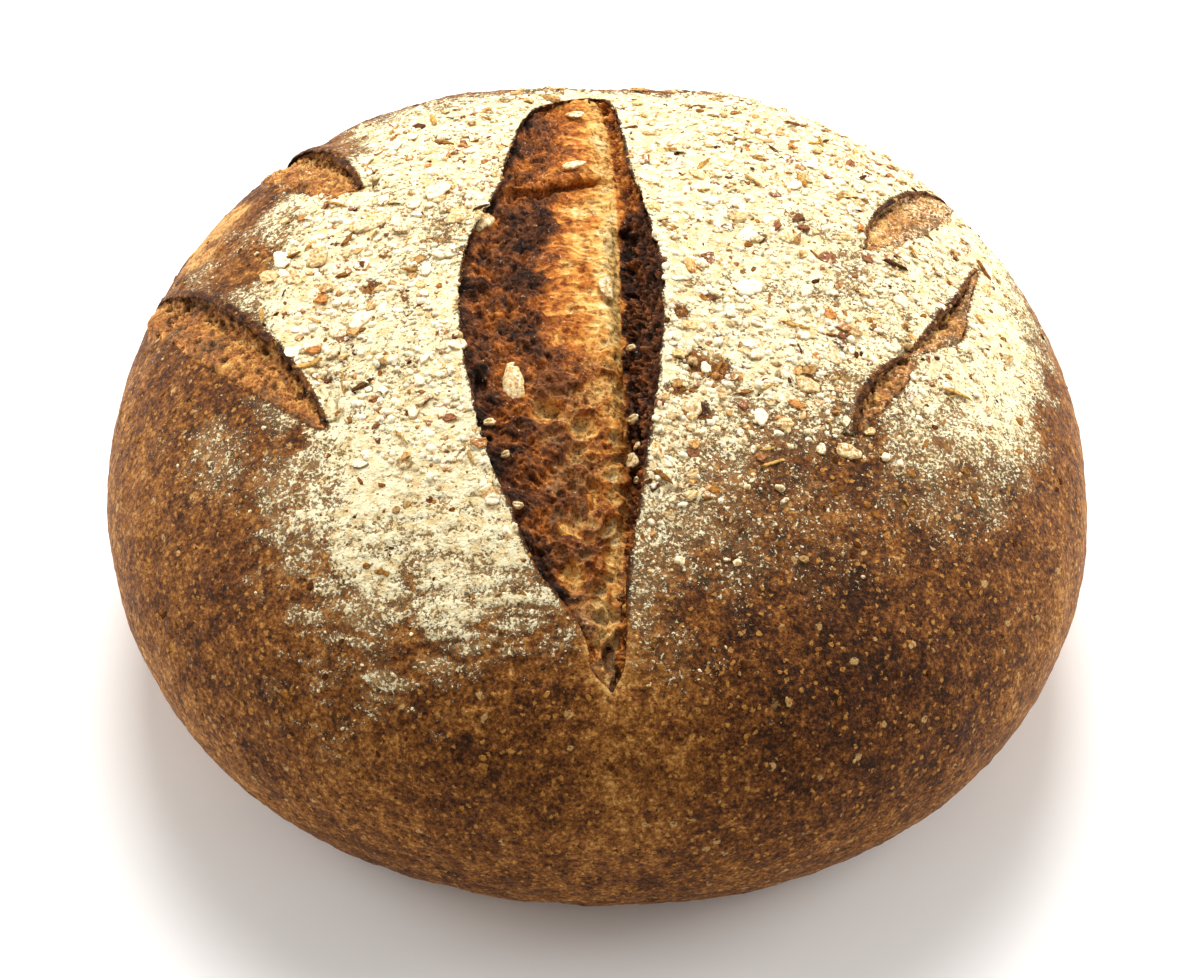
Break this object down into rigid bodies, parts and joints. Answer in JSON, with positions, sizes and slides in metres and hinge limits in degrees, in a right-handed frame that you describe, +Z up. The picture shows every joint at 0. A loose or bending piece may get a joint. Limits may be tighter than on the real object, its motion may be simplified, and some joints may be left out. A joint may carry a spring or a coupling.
{
  "type": "multigrain country loaf",
  "caption": "Round flour-dusted multigrain country loaf with a burst long slash, shoulder cuts, rolled oats and grains on a brown crust",
  "frame": {"origin": "the middle of the flat base, on the surface that the loaf rests on", "axes": "+X across the long slash to the right, +Y along the slash to the back, +Z up"},
  "size_m": [0.238, 0.2378, 0.1026],
  "materials": {
    "crust": "matte baked crust, brown flanks under a rough dusting of pale flour",
    "crumb": "torn baked crumb, orange brown, open and rough",
    "oat": "dry rolled oat flake, pale cream",
    "grain": "small baked grains, bran and clotted flour"
  },
  "bodies": {
    "root": {"loaf": "crust"}
  },
  "joints": []
}
